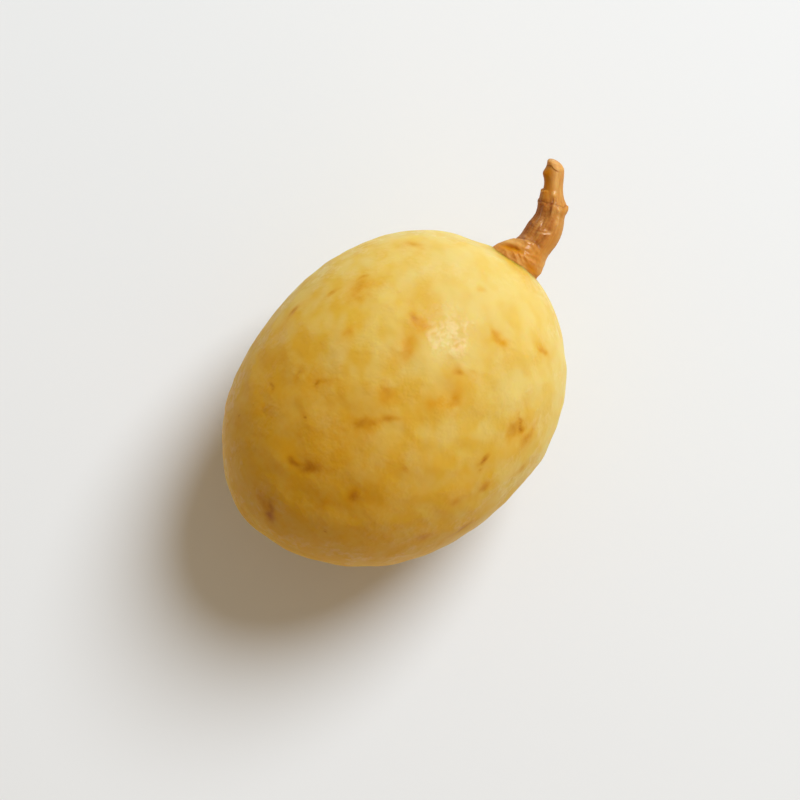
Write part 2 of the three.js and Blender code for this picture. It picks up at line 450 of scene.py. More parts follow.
# %% Closed tubes of rings
def ring_faces(rings, sectors):
    """Corner numbers of the quads between rings, and of the two fans of triangles at the ends. Point
    i * sectors + j is sector j of ring i, and the two end points come last."""
    i, j = np.meshgrid(np.arange(rings - 1), np.arange(sectors), indexing="ij")
    k = (j + 1) % sectors
    near, beside = i * sectors + j, i * sectors + k
    quads = np.stack([near, beside, beside + sectors, near + sectors], axis=-1)
    first, last = rings * sectors, rings * sectors + 1
    j = np.arange(sectors)
    k = (j + 1) % sectors
    top = (rings - 1) * sectors
    start = np.stack([np.full(sectors, first), k, j], axis=-1)
    end = np.stack([np.full(sectors, last), top + j, top + k], axis=-1)
    return quads.reshape(-1, 4), np.concatenate([start, end])


def closed_mesh(name, points, first, last):
    """A smooth-shaded closed mesh through rings x sectors x 3 points and two end points, in mm."""
    rings, sectors = points.shape[:2]
    vertices = np.concatenate([points.reshape(-1, 3), [first, last]])
    quads, fans = ring_faces(rings, sectors)
    corners = vertices[np.concatenate([quads[:, [0, 1, 2]], quads[:, [0, 2, 3]], fans])]
    volume = np.einsum("ij,ij->i", corners[:, 0], np.cross(corners[:, 1], corners[:, 2])).sum() / 6
    if volume < 0:
        quads, fans = quads[:, ::-1], fans[:, ::-1]
    mesh = bpy.data.meshes.new(name)
    mesh.from_pydata(vertices * MM, [], quads.tolist() + fans.tolist())
    mesh.polygons.foreach_set("use_smooth", np.ones(len(mesh.polygons), bool))
    mesh.update()
    piece = bpy.data.objects.new(name, mesh)
    bpy.context.scene.collection.objects.link(piece)
    print(name, "has", len(mesh.polygons), "faces and holds", round(abs(volume)), "cubic mm")
    return piece


def paint(piece, name, values, ends=(0.0, 0.0)):
    """Stores one number for each point of a grid as the mesh's attribute, with one for each end."""
    attribute = piece.data.attributes.new(name, "FLOAT", "POINT")
    attribute.data.foreach_set("value", np.concatenate([np.ravel(values), ends]).astype(np.float32))


tuber = closed_mesh("tuber_skin", skin[1:-1], skin[0].mean(axis=0), skin[-1].mean(axis=0))

# Stains add up as washes of ink do: the more there is already, the less a new one shows.
WASH = 1.4
paint(tuber, "ochre", 1 - np.exp(-WASH * ochre[1:-1]))
paint(tuber, "brown", 1 - np.exp(-WASH * brown[1:-1]))
paint(tuber, "pale", pale[1:-1])

# %% [markdown]
# ## A helper for materials
# A material is a tree of nodes. One function adds any node, sets its properties and fills its inputs:
# an input is filled either with a value or with another node's output. It gives back the one output
# that the next node needs. Colours are written as the hex values that a colour picker shows, and one
# function turns them to the linear values that Blender mixes light with. Two longer steps are shared by
# both materials: laying stains over a colour, and adding up fine relief.

# %% Nodes and colours
def linear(code):
    """An sRGB hex colour as linear red, green, blue and alpha."""
    shares = np.array([int(code[i : i + 2], 16) for i in (1, 3, 5)]) / 255
    low_part = shares / 12.92
    high_part = ((shares + 0.055) / 1.055) ** 2.4
    return (*np.where(shares <= 0.04045, low_part, high_part), 1.0)


def node(tree, kind, output, inputs=None, **settings):
    """Adds a node of a kind with its settings, sets or links each input, and gives one output back."""
    made = tree.nodes.new(kind)
    for name, value in settings.items():
        setattr(made, name, value)
    for name, value in (inputs or {}).items():
        if isinstance(value, bpy.types.NodeSocket):
            tree.links.new(value, made.inputs[name])
        else:
            made.inputs[name].default_value = value
    return made.outputs[output] if made.outputs else None


def new_material(name):
    """A material with an empty tree."""
    material = bpy.data.materials.new(name)
    material.use_nodes = True
    material.node_tree.nodes.clear()
    return material


def stained(tree, colour, layers, noise):
    """Lays one hue after another over a colour. A layer's share is its mark's attribute times a number
    that goes from weak to strong as the layer's noise rises, so that no mark is an even blot."""
    for mark, breaker, weak, strong, hue in layers:
        settings = {"Value": noise[breaker], "From Min": 0.3, "From Max": 0.7}
        settings.update({"To Min": weak, "To Max": strong})
        share = node(tree, "ShaderNodeMapRange", "Result", settings)
        cover = node(tree, "ShaderNodeAttribute", "Fac", attribute_name=mark)
        settings = {0: share, 1: cover}
        share = node(tree, "ShaderNodeMath", "Value", settings, operation="MULTIPLY", use_clamp=True)
        settings = {"Factor": share, "A": colour, "B": linear(hue)}
        colour = node(tree, "ShaderNodeMix", "Result", settings, data_type="RGBA")
    return colour


def raised(tree, reliefs):
    """The shading normal of a relief finer than the mesh. Each relief is a noise and its full height in
    millimetres, and the heights are added up one after another."""
    height = 0.0
    for relief_noise, full_height in reliefs:
        settings = {0: relief_noise, 1: full_height, 2: height}
        height = node(tree, "ShaderNodeMath", "Value", settings, operation="MULTIPLY_ADD")
    settings = {"Height": height, "Distance": MM, "Strength": 1.0}
    return node(tree, "ShaderNodeBump", "Normal", settings)


# %% [markdown]
# ## Peeled root flesh
# The flesh is starch and water, cut with a knife. Light goes a few millimetres into it and comes out
# warmer, so the shader scatters under the surface, red furthest and blue least. The cut flesh itself is
# nearly matt, and the damp film on it is a thin coat, which shines most on the tops of small lumps: to
# the eye that is a soft, broken, waxy gloss. Colour is laid in four steps: yellow flesh, cream patches,
# the ochre layer under the skin, and brown in the eyes. Some of the cream patches are painted highlight.
# The marks come from the mesh's attributes, and noise breaks them up.

# %% Material: peeled, damp root flesh
# mark, noise that breaks it up, share where that noise is low, share where it is high, colour
FLESH_LAYERS = [
    # The pale layer: cream flesh, and in places painted highlight.
    ("pale", "cloud", 0.58, 0.98, "#D3BD72"),
    ("ochre", "broken", 0.8, 1.05, "#CF9608"),
    ("brown", "grain", 0.75, 1.0, "#984A06"),
]


def flesh_material():
    """Yellow flesh in soft clouds, with a layer of colour for each kind of mark."""
    material = new_material("peeled_root_flesh")
    tree = material.node_tree
    place = node(tree, "ShaderNodeTexCoord", "Object")

    # The clouds in the flesh are drawn out across the root, tilted towards the stem, as its fibres are.
    cloud_size = (4.2 * MM, 2.8 * MM, 3.6 * MM)
    settings = {"Vector": place, "Rotation": (0, 0, math.radians(60)), "Scale": cloud_size}
    drawn_out = node(tree, "ShaderNodeMapping", "Vector", settings, vector_type="TEXTURE")
    noise = {}
    # name, what the noise reads, one over the size of its features, detail
    for name, vector, scale, detail in (
        ("cloud", drawn_out, 1.0, 1.0),
        ("grain", place, 1 / (0.45 * MM), 2.0),
        ("broken", place, 1 / (0.9 * MM), 3.0),
        ("lumps", place, 1 / (0.8 * MM), 1.0),
        ("dimples", place, 1 / (1.8 * MM), 1.0),
        ("groups", place, 1 / (4.5 * MM), 2.0),
    ):
        settings = {"Vector": vector, "Scale": scale, "Detail": detail, "Roughness": 0.55}
        noise[name] = node(tree, "ShaderNodeTexNoise", "Fac", settings)

    settings = {"Value": noise["cloud"], "From Min": 0.35, "From Max": 0.65}
    share = node(tree, "ShaderNodeMapRange", "Result", settings, interpolation_type="SMOOTHSTEP")
    settings = {"Factor": share, "A": linear("#D2AA3A"), "B": linear("#D6B85C")}
    colour = node(tree, "ShaderNodeMix", "Result", settings, data_type="RGBA")
    colour = stained(tree, colour, FLESH_LAYERS, noise)

    # Small lumps stand in groups, and their tops are wettest.
    settings = {"Value": noise["groups"], "From Min": 0.38, "From Max": 0.62}
    share = node(tree, "ShaderNodeMapRange", "Result", settings, interpolation_type="SMOOTHSTEP")
    lumps = node(tree, "ShaderNodeMath", "Value", {0: share, 1: noise["lumps"]}, operation="MULTIPLY")
    settings = {"Value": lumps, "From Min": 0.4, "From Max": 0.56, "To Min": 0.06, "To Max": 0.42}
    wet = node(tree, "ShaderNodeMapRange", "Result", settings, interpolation_type="SMOOTHSTEP")

    normal = raised(tree, ((noise["dimples"], 0.08), (lumps, 0.13), (noise["grain"], 0.008)))
    shader = node(
        tree,
        "ShaderNodeBsdfPrincipled",
        "BSDF",
        {
            "Base Color": colour,
            "Normal": normal,
            "Roughness": 0.5,
            "IOR": 1.4,
            "Specular IOR Level": 0.12,
            "Subsurface Weight": 1.0,
            "Subsurface Radius": (1.0, 0.5, 0.2),
            "Subsurface Scale": 5 * MM,
            "Coat Weight": wet,
            "Coat Roughness": 0.33,
            "Coat IOR": 1.4,
        },
    )
    node(tree, "ShaderNodeOutputMaterial", None, {"Surface": shader})
    return material


tuber.data.materials.append(flesh_material())

# %% [markdown]
# ## The path and thickness of the stem
# The stem is a tube carried along a path: straight through the collar, an even bend along the shaft,
# and straight again to the cut tip. It is not round. Seen from above, its two sides swell and narrow
# at different places, so the tube has one half-width for each of its left, right, upper and lower
# sides, and each quarter of a ring is a quarter of an ellipse between two of them.

# %% Path and half-widths
COLLAR_HEIGHT, SHAFT_LENGTH, UPPER_LENGTH = 3.1, 7.5, 6.2
FOOT_DEPTH = 1.6  # how far the collar goes on below the skin, so that no gap shows
COLLAR_WAY = direction(4, 0)
UPPER_WAY = direction(48, 14)
STEM_PLACE = direction(7.5, 3)
STEM_RINGS, STEM_SECTORS = 380, 230
PATH_STEPS = 400  # points on each of the path's three stretches, before they are spaced evenly


def stem_path(count):
    """Points evenly spaced along the path, their distances from the skin, and the forward direction at
    each: a straight line, a parabola that leaves it and arrives at the third line without a corner."""
    foot = OVAL * STEM_PLACE
    foot = CENTRE + foot + unit(foot) * swell_height(unit(foot))
    start = foot - COLLAR_WAY * FOOT_DEPTH
    collar_top = foot + COLLAR_WAY * COLLAR_HEIGHT
    corner = collar_top + COLLAR_WAY * SHAFT_LENGTH / 2
    joint = corner + UPPER_WAY * SHAFT_LENGTH / 2
    tip = joint + UPPER_WAY * UPPER_LENGTH
    t = np.linspace(0, 1, PATH_STEPS)[:, None]
    bend = (1 - t) ** 2 * collar_top + 2 * t * (1 - t) * corner + t**2 * joint
    collar = start + t * (collar_top - start)
    upper = joint + t[1:] * (tip - joint)
    rough = np.concatenate([collar, bend[1:], upper])
    travelled = np.concatenate([[0], np.cumsum(np.linalg.norm(np.diff(rough, axis=0), axis=1))])
    distance = np.linspace(0, travelled[-1], count)
    points = np.stack([np.interp(distance, travelled, rough[:, axis]) for axis in range(3)], axis=-1)
    return points, distance - FOOT_DEPTH, unit(np.gradient(points, axis=0))


path, along, forward = stem_path(STEM_RINGS)
STEM_END = along[-1]
print("the stem is", round(STEM_END, 2), "mm long above the skin")

# %% Half-widths along the stem
# distance from the skin (mm): half-width to the left, to the right, upwards and downwards
STATIONS = [
    (-1.6, 3.85, 3.55, 3.5, 3.5),
    (-0.5, 3.75, 3.55, 3.45, 3.45),
    (0.4, 3.40, 3.50, 3.3, 3.3),
    (1.2, 2.95, 3.42, 3.1, 3.1),
    (2.0, 2.60, 3.10, 2.9, 2.9),
    (2.8, 2.55, 2.65, 2.65, 2.65),
    (3.6, 2.65, 2.40, 2.55, 2.55),
    (5.0, 2.75, 2.45, 2.5, 2.5),
    (6.1, 2.70, 2.42, 2.5, 2.5),
    (7.2, 2.40, 2.22, 2.45, 2.45),
    (8.1, 2.20, 2.00, 2.35, 2.35),
    (8.9, 2.12, 2.00, 2.3, 2.3),
    (9.6, 2.02, 2.15, 2.2, 2.2),
    (10.2, 1.80, 1.75, 2.05, 2.05),
    (11.0, 1.50, 1.58, 1.85, 1.85),
    (11.8, 1.38, 1.50, 1.6, 1.6),
    (12.5, 1.25, 1.48, 1.45, 1.45),
    (13.5, 1.20, 1.58, 1.4, 1.4),
    (14.3, 1.40, 1.64, 1.4, 1.4),
    (15.3, 0.86, 1.60, 1.4, 1.4),
    (16.4, 0.80, 1.28, 1.2, 1.2),
]


STATION_BLUR = 0.35


def half_widths(distance):
    """The four half-widths at each distance: straight lines from station to station, averaged under a
    bell curve exp(-(away / STATION_BLUR)^2 / 2), which rounds the corners off."""
    at = np.array([station[0] for station in STATIONS])
    sizes = np.array([station[1:] for station in STATIONS])
    index = np.clip(np.searchsorted(at, distance) - 1, 0, len(at) - 2)
    share = np.clip((distance - at[index]) / (at[index + 1] - at[index]), 0, 1)
    straight = sizes[index] + (sizes[index + 1] - sizes[index]) * share[:, None]
    blur = np.exp(-0.5 * ((distance[:, None] - distance[None, :]) / STATION_BLUR) ** 2)
    return (blur @ straight) / blur.sum(axis=1, keepdims=True)


# %% [markdown]
# ## Relief of the stem
# The stem dried while it stood, so its bark shrank into ribs, and it broke and folded where it was
# bent. From the root up it has a fleshy collar that the shaft stands in, ribs along the shaft, a ring
# where the bark above broke away, a thin neck, a knob, and a lip folded over the cut. Most of these are
# single bumps and hollows. Each one is a soft oval on the stem's surface, given by its distance along
# the stem and its angle round it: 0 is the left side seen from above, 90 the top, 180 the right.

# %% Bumps and hollows of the stem
# distance (mm), angle (degrees), length along (mm), width round (mm), turn (degrees), height (mm)
BUMPS = [
    (0.45, 50, 0.32, 1.25, -23, -0.5),
    (-0.5, 58, 0.18, 0.5, 30, 0.16),
    (0.05, 76, 0.15, 0.45, 30, 0.2),
    (0.5, 84, 0.15, 0.5, 25, 0.2),
    (0.8, 97, 0.15, 0.45, 20, 0.2),
    (1.3, 88, 0.15, 0.4, -15, 0.14),
    (1.0, 112, 0.2, 0.5, -10, 0.16),
    (1.7, 78, 0.18, 0.35, 10, 0.14),
    (2.6, 70, 0.2, 0.3, 0, 0.16),
    (3.0, 52, 0.22, 0.35, 0, 0.14),
    (3.0, 86, 0.25, 0.28, 0, 0.16),
    (3.45, 96, 0.25, 0.45, 0, -0.2),
    (1.6, 150, 0.7, 0.5, 0, -0.1),
    (4.7, 68, 0.6, 0.12, 0, -0.08),
    (4.3, 97, 0.6, 0.12, 0, -0.08),
    (4.9, 84, 0.9, 0.18, 0, 0.1),
    (6.1, 39, 0.25, 0.7, 35, 0.16),
    (6.7, 60, 0.5, 0.1, 8, 0.16),
    (6.2, 68, 0.4, 0.09, -12, 0.16),
    (5.65, 82, 0.1, 0.3, -30, 0.13),
    (5.35, 98, 0.1, 0.3, -35, 0.13),
    (5.85, 92, 0.09, 0.25, -20, 0.08),
    (6.1, 100, 0.3, 0.4, 20, -0.16),
    (7.6, 52, 0.8, 0.16, 0, 0.09),
    (7.3, 66, 0.9, 0.2, 0, -0.09),
    (8.1, 62, 0.8, 0.5, 0, -0.12),
    (9.0, 53, 0.5, 0.4, 0, 0.1),
    (9.5, 81, 0.7, 0.1, 0, -0.1),
    (9.2, 90, 0.7, 0.2, 0, 0.08),
    (9.2, 112, 0.22, 0.25, 0, 0.14),
    (8.15, 121, 0.25, 0.22, 0, 0.14),
    (7.4, 119, 0.25, 0.22, 0, 0.12),
    (8.4, 140, 1.2, 0.2, 0, 0.1),
    (9.3, 166, 0.5, 0.8, 0, 0.09),
    (10.6, 88, 0.3, 0.1, 0, -0.16),
    (10.7, 74, 0.3, 0.1, 0, -0.08),
    (11.5, 92, 0.24, 0.26, 0, 0.14),
    (13.3, 52, 0.8, 0.3, 0, -0.08),
    (14.5, 24, 0.5, 0.8, 0, 0.22),
    (14.3, 100, 0.9, 0.25, 0, 0.05),
    (7.5, 230, 1.5, 0.5, 0, -0.2),
    (5.5, 270, 1.6, 0.5, 0, 0.2),
    (9.0, 300, 1.2, 0.4, 0, -0.25),
    (12.5, 270, 1.0, 0.4, 0, -0.1),
    (2.0, 250, 0.6, 1.2, 0, -0.2),
]


def bump_field(distance, angle, bumps):
    """The sum of soft ovals on the stem: each is its height x exp(-r^2 / 2), where r is the distance from
    its centre, measured in lengths along the oval and in widths across it."""
    total = np.zeros(np.broadcast(distance, angle).shape)
    radius = half_widths(np.ravel(distance)).mean(axis=1)[:, None]
    for at, round_at, length, width, turn, height in bumps:
        off = (angle - math.radians(round_at) + np.pi) % (2 * np.pi) - np.pi
        x, y = distance - at, off * radius
        lean = math.radians(turn)
        p = x * math.cos(lean) + y * math.sin(lean)
        q = y * math.cos(lean) - x * math.sin(lean)
        total += height * np.exp(-0.5 * ((p / length) ** 2 + (q / width) ** 2))
    return total


def step_down(distance, line, height, sharpness):
    """A step: `height` before a line across the stem and nothing after it. `sharpness` is the length in
    mm over which it falls."""
    return height * (1 - ease(distance, line - sharpness / 2, line + sharpness / 2))


# %% The plain tube
angle = np.linspace(0, 2 * np.pi, STEM_SECTORS, endpoint=False)[None, :]
distance = along[:, None]
left_share = np.cos(angle)
top_share = np.sin(angle)
sizes = half_widths(along)
across = np.where(left_share > 0, sizes[:, :1], sizes[:, 1:2]) * left_share
upwards = np.where(top_share > 0, sizes[:, 2:3], sizes[:, 3:4]) * top_share

side = unit(np.cross([0, 0, 1], forward))
over = np.cross(forward, side)
outward = unit(side[:, None] * left_share[..., None] + over[:, None] * top_share[..., None])
stem_skin = path[:, None] + side[:, None] * across[..., None] + over[:, None] * upwards[..., None]

# The seamless coordinates that follow the bark: two round the stem, and one along it.
BARK_RADIUS = 2.4
everywhere = np.ones_like(distance * angle)
round_x = BARK_RADIUS * left_share * everywhere
round_y = BARK_RADIUS * top_share * everywhere
bark = np.stack([round_x, round_y, distance * everywhere], axis=-1)
print("plain stem:", stem_skin.shape[:2], "points,", round(sizes.max(), 2), "mm at its widest side")

# %% Lines across the stem, and the steps at them
# Each line lies at a distance along the stem, and each step has a height, all in mm. The collar's edge
# climbs by COLLAR_RISE towards the upper side. The joint's ring is tilted towards the left and lifted at
# the right. The lip drops towards the right. The ledge is bark that was left on the left side.
COLLAR_AT, COLLAR_RISE, COLLAR_STEP = 1.5, 1.55, 0.38
JOINT_AT, JOINT_TILT, JOINT_LIFT, JOINT_STEP = 10.0, 0.5, 0.3, 0.22
LIP_AT, LIP_DROP, LIP_STEP = 15.6, 0.9, 0.15
LEDGE_STARTS, LEDGE_ENDS, LEDGE_STEP = 10.4, 11.9, 0.32
# A random wobble frays the lines, each by its own share.
COLLAR_FRAY, JOINT_FRAY, LIP_FRAY = 0.7, 0.8, 0.4
wobble = 0.18 * ripples(bark, 1.8, 31) + 0.1 * ripples(bark, 0.7, 32)

collar_line = COLLAR_AT + COLLAR_RISE * np.clip(top_share, 0, 1) ** 1.5 + COLLAR_FRAY * wobble
collar_height = COLLAR_STEP * ease(left_share, -0.6, 0.3)
joint_line = JOINT_AT + JOINT_TILT * left_share + JOINT_LIFT * ease(-left_share, 0.7, 1.0)
joint_line = joint_line + JOINT_FRAY * wobble
lip_line = LIP_AT - LIP_DROP * ease(-left_share, -0.3, 0.36) + LIP_FRAY * wobble
lip_height = LIP_STEP * ease(top_share, -0.1, 0.7) * (1 - ease(-left_share, 0.25, 0.6))
ledge_height = LEDGE_STEP * ease(left_share, 0.35, 0.85)

stem_relief = bump_field(distance, angle, BUMPS)
stem_relief += step_down(distance, collar_line, collar_height, 0.5)
at_joint = step_down(distance, joint_line, JOINT_STEP, 0.18)
before_joint = step_down(distance, joint_line - 0.8, JOINT_STEP, 1.2)
stem_relief += at_joint - before_joint
stem_relief += step_down(distance, LEDGE_ENDS + wobble, ledge_height, 0.3)
stem_relief -= step_down(distance, LEDGE_STARTS, ledge_height, 1.2)
print("bumps and steps from", stem_relief.min().round(2), "to", stem_relief.max().round(2), "mm")

# %% Ribs, the lip, wrinkles and small folds
RIB_COUNT, RIB_HEIGHT = 7, 0.06
FINE_RIB_COUNT, FINE_RIB_HEIGHT, FINE_RIB_START = 12, 0.03, 1.3
on_shaft = ease(distance, 3.0, 4.2) * (1 - ease(distance, joint_line - 0.2, joint_line + 0.1))
ribs = RIB_HEIGHT * np.cos(RIB_COUNT * angle + 0.5 * ripples(bark, 6.0, 33))
ribs = ribs + FINE_RIB_HEIGHT * np.cos(FINE_RIB_COUNT * angle + FINE_RIB_START)
ribs += 0.06 * ripples(bark, np.array([0.9, 0.9, 4.5]), 34)
# Ribs at the left and right sides would make the outline too jagged, so they are lower there.
ribs *= 1 - 0.75 * ease(np.abs(left_share), 0.45, 0.8)
stem_relief += on_shaft * ribs

LIP_CREASE = 0.1  # both how far below the lip's edge the crease lies and how wide it is
crease = np.exp(-0.5 * ((distance - lip_line + LIP_CREASE) / LIP_CREASE) ** 2)
stem_relief += ease(distance, lip_line - 0.1, lip_line + 0.12) * lip_height
stem_relief -= 0.15 * lip_height * crease

# The bark is gone above the joint, so the wrinkles fade there: `peeled` goes from 0 to 1.
PEELED_FROM, PEELED_TO = 10.3, 11.3
peeled = ease(distance, PEELED_FROM, PEELED_TO)
fibres = 0.03 * ripples(bark, np.array([0.6, 0.6, 1.6]), 35)
folds = 0.05 * ripples(bark, np.array([1.4, 1.4, 0.7]), 36)
stem_relief += fibres * ease(distance, 3.0, 4.0) * (1 - 0.7 * peeled)
stem_relief += folds * (1 - ease(distance, 2.4, 3.6))
stem_relief += 0.015 * ripples(bark, 0.45, 37) * (1 - 0.6 * peeled)
# Small folds crowd on the upper side of the collar, where the shaft leans away from it.
crowded = np.exp(-0.5 * ((distance - 0.8) / 1.0) ** 2) * ease(top_share, 0.7, 0.95)
stem_relief += 0.09 * crowded * ripples(bark, np.array([1.1, 1.1, 0.6]), 38)
print("whole relief from", stem_relief.min().round(2), "to", stem_relief.max().round(2), "mm")

# %% The cut end
# It is round-edged: the last rings are drawn in to TIP_SHARE of their size along a quarter circle.
TIP_ROUNDING = 0.45
TIP_SHARE = 0.35
drawn_in = np.sqrt(1 - (1 - np.clip((STEM_END - distance) / TIP_ROUNDING, 0, 1)) ** 2)
kept_share = TIP_SHARE + (1 - TIP_SHARE) * drawn_in
stem_skin = stem_skin + outward * stem_relief[..., None]
stem_skin = path[:, None] + (stem_skin - path[:, None]) * kept_share[..., None]

# The stem broke off on a slant: its left side reaches furthest, and the cut curves down to the right.
SLANT, SLANT_START, SLANT_SUMMIT = 0.155, 14.6, 0.9
TIP_CROWN = 0.06  # how far the middle of the cut stands proud (mm)
sideways = ((stem_skin - path[:, None]) * side[:, None]).sum(axis=-1)
slant = -SLANT * (SLANT_SUMMIT - sideways) ** 2 * ease(distance, SLANT_START, STEM_END)
stem_skin = stem_skin + forward[:, None] * slant[..., None]
tip = path[-1] + forward[-1] * (TIP_CROWN - SLANT * SLANT_SUMMIT**2)
stem = closed_mesh("stem_stub", stem_skin, path[0], tip)
print("stem from", stem_skin.min(axis=(0, 1)), "to", stem_skin.max(axis=(0, 1)))
print("the model's stem:", box_mm("stem"))

# %% [markdown]
# ## Colours of the stem
# The stem is not one brown. The collar is a tan cuff with an orange hollow, the shaft is red brown and
# darkest low on its left side, and the neck and the lip are pale, because the bark there is gone. Part
# of this is painted light: painted shade darkens the grooves, the hollows and the left side, away from
# the light, and painted highlight lightens the tops of folds and bumps and the right side, towards it.
# Folds that stand out are rubbed and shine. Soft ovals like those that shaped the stem lay all this
# down, as four numbers for each point: pale, orange, dark and gloss.

# %% Where the stem is pale, orange, dark or glossy
# distance, angle, length along, width round, turn, strength
# Pale: the collar's tan rim is the bark's own colour. The ovals on the tops of folds and bumps and along
# the neck's top are painted highlight, and those on the right side, towards the light, are painted light.
PALE_BARK_AND_HIGHLIGHT = [
    (1.5, 30, 0.4, 1.4, 0, 0.9),
    (0.9, 22, 0.5, 0.9, 0, 0.7),
    (1.9, 60, 0.35, 0.8, 0, 0.2),
    (1.7, 168, 1.2, 1.0, 0, 0.6),
    (0.5, 86, 0.5, 0.9, 20, 0.45),
    (2.8, 70, 0.35, 1.2, 0, 0.4),
    (6.4, 63, 0.6, 0.14, 5, 0.7),
    (5.5, 90, 0.15, 0.8, -30, 0.7),
    (7.6, 50, 0.9, 0.2, 0, 0.5),
    (9.2, 90, 0.7, 0.2, 0, 0.4),
    (9.2, 112, 0.25, 0.28, 0, 0.6),
    (7.8, 120, 0.7, 0.28, 0, 0.5),
    (6.0, 150, 2.6, 0.8, 0, 0.45),
    (9.5, 165, 0.6, 0.9, 0, 0.5),
    (11.5, 92, 0.25, 0.26, 0, 0.8),
    (12.8, 140, 2.4, 1.1, 0, 0.3),
    (13.6, 104, 1.3, 0.25, 0, 0.6),
    (15.9, 80, 0.6, 2.0, 0, 0.15),
    (15.0, 150, 0.8, 1.0, 0, 0.1),
]
ORANGE_BARK = [
    (0.3, 52, 0.4, 1.4, -23, 1.3),
    (0.3, 128, 0.35, 1.3, 0, 0.8),
    (2.0, 110, 1.2, 1.6, 0, 0.3),
    (14.6, 50, 0.6, 0.6, 0, 0.9),
    (13.2, 45, 1.0, 0.5, 0, 0.7),
    (11.6, 60, 1.0, 0.9, 0, 0.5),
    (9.4, 150, 0.8, 1.2, 0, 0.4),
    (5.0, 130, 1.5, 1.0, 0, 0.3),
]
# Dark: partly the bark's own darker colour, and partly painted shade in the grooves and hollows that the
# bumps cut, on the left side, away from the light, and underneath.
DARK_BARK_AND_SHADE = [
    (3.4, 92, 0.25, 0.5, 0, 0.5),
    (4.2, 40, 1.3, 1.6, 0, 0.4),
    (4.7, 68, 0.6, 0.14, 0, 0.3),
    (4.3, 97, 0.6, 0.14, 0, 0.35),
    (8.2, 60, 1.3, 0.5, 0, 0.5),
    (8.6, 20, 1.6, 0.8, 0, 0.3),
    (9.6, 81, 0.7, 0.1, 0, 0.6),
    (10.6, 88, 0.35, 0.1, 0, 0.6),
    (13.2, 38, 0.7, 0.3, 0, 0.15),
    (8.0, 270, 3.0, 2.5, 0, 0.4),
    (5.5, 18, 2.4, 1.0, 0, 0.45),
    (10.3, 80, 0.4, 0.3, 0, 0.2),
]
GLOSSY_BARK = [
    (0.9, 92, 1.0, 1.4, 0, 0.6),
    (2.8, 68, 0.4, 1.2, 0, 0.8),
    (5.6, 84, 0.6, 0.9, -25, 0.8),
    (6.6, 62, 0.8, 0.4, 0, 0.6),
    (7.5, 54, 0.9, 0.4, 0, 0.5),
    (9.3, 96, 0.7, 0.4, 0, 0.6),
    (8.2, 120, 1.2, 0.4, 0, 0.4),
    (11.5, 92, 0.3, 0.3, 0, 0.35),
    (13.7, 103, 1.1, 0.35, 0, 0.8),
    (15.9, 95, 0.5, 0.8, 0, 0.5),
]


def dark_line(line, beyond, width):
    """A dark line across the stem: exp(-(away / width)^2 / 2), `beyond` mm past another line."""
    return np.exp(-0.5 * ((distance - line - beyond) / width) ** 2)


# %% Stem colours, added up and painted
# Whole stretches are paler: the lip, the neck without its bark, and the collar, which is orange too.
LIP_PALE, NECK_PALE, COLLAR_PALE, COLLAR_ORANGE = 0.15, 0.15, 0.2, 0.25
# Pale ovals and stretches; the ovals are partly painted highlight and painted light.
stem_pale_and_highlight = bump_field(distance, angle, PALE_BARK_AND_HIGHLIGHT)
stem_pale_and_highlight += LIP_PALE * ease(distance, lip_line, lip_line + 0.2) + NECK_PALE * ease(distance, 10.5, 11.5)
stem_pale_and_highlight += COLLAR_PALE * (1 - ease(distance, collar_line - 0.2, collar_line + 0.3))
stem_orange = bump_field(distance, angle, ORANGE_BARK)
stem_orange += COLLAR_ORANGE * (1 - ease(distance, collar_line, collar_line + 0.4))

# Dirt and shade collect just above the joint's ring and the collar, and just below the lip.
JOINT_DARK, LIP_DARK, COLLAR_DARK = 0.6, 1.2, 1.1
# The dark ovals are partly painted shade.
stem_dark_and_shade = bump_field(distance, angle, DARK_BARK_AND_SHADE)
stem_dark_and_shade += JOINT_DARK * dark_line(joint_line, 0.06, 0.09) * ease(top_share, -0.2, 0.5)
stem_dark_and_shade += LIP_DARK * lip_height * dark_line(lip_line, -0.1, 0.08)
stem_dark_and_shade += COLLAR_DARK * collar_height * dark_line(collar_line, 0.25, 0.2)

TOP_GLOSS = 0.12
stem_gloss = bump_field(distance, angle, GLOSSY_BARK)
stem_gloss += TOP_GLOSS * ease(top_share, 0.75, 0.95)
paint(stem, "gloss", stem_gloss)
paint(stem, "orange", stem_orange)
paint(stem, "dark", stem_dark_and_shade)
paint(stem, "pale", stem_pale_and_highlight)
grain_ends = [[0, 0, along[0]], [0, 0, along[-1]]]
grain_points = np.concatenate([bark.reshape(-1, 3), grain_ends]).astype(np.float32)
grain = stem.data.attributes.new("grain", "FLOAT_VECTOR", "POINT")
grain.data.foreach_set("vector", grain_points.ravel())
print("painted on the stem:", [attribute.name for attribute in stem.data.attributes])


# %% [markdown]
# ## Dry stem bark
# Bark that dried on the root is a thin skin of fibres, matt but for the folds that handling has rubbed:
# a clear coat shines there. The fibres run along the stem, so the noise that colours and roughens the
# bark reads coordinates that follow the stem: two go round it and one along it, and the pattern is
# stretched along it.

# %% Material: dried fibrous bark
# mark, noise that breaks it up, share where that noise is low, share where it is high, colour
BARK_LAYERS = [
    # The pale layer is the bark's own tan and, in places, painted highlight and painted light.
    ("pale", "blotches", 0.65, 0.95, "#E2B266"),
    ("orange", "blotches", 0.8, 1.05, "#C27A0C"),
    # The dark layer is the bark's own dark and, in places, painted shade.
    ("dark", "fibres", 0.85, 0.65, "#803C08"),
]


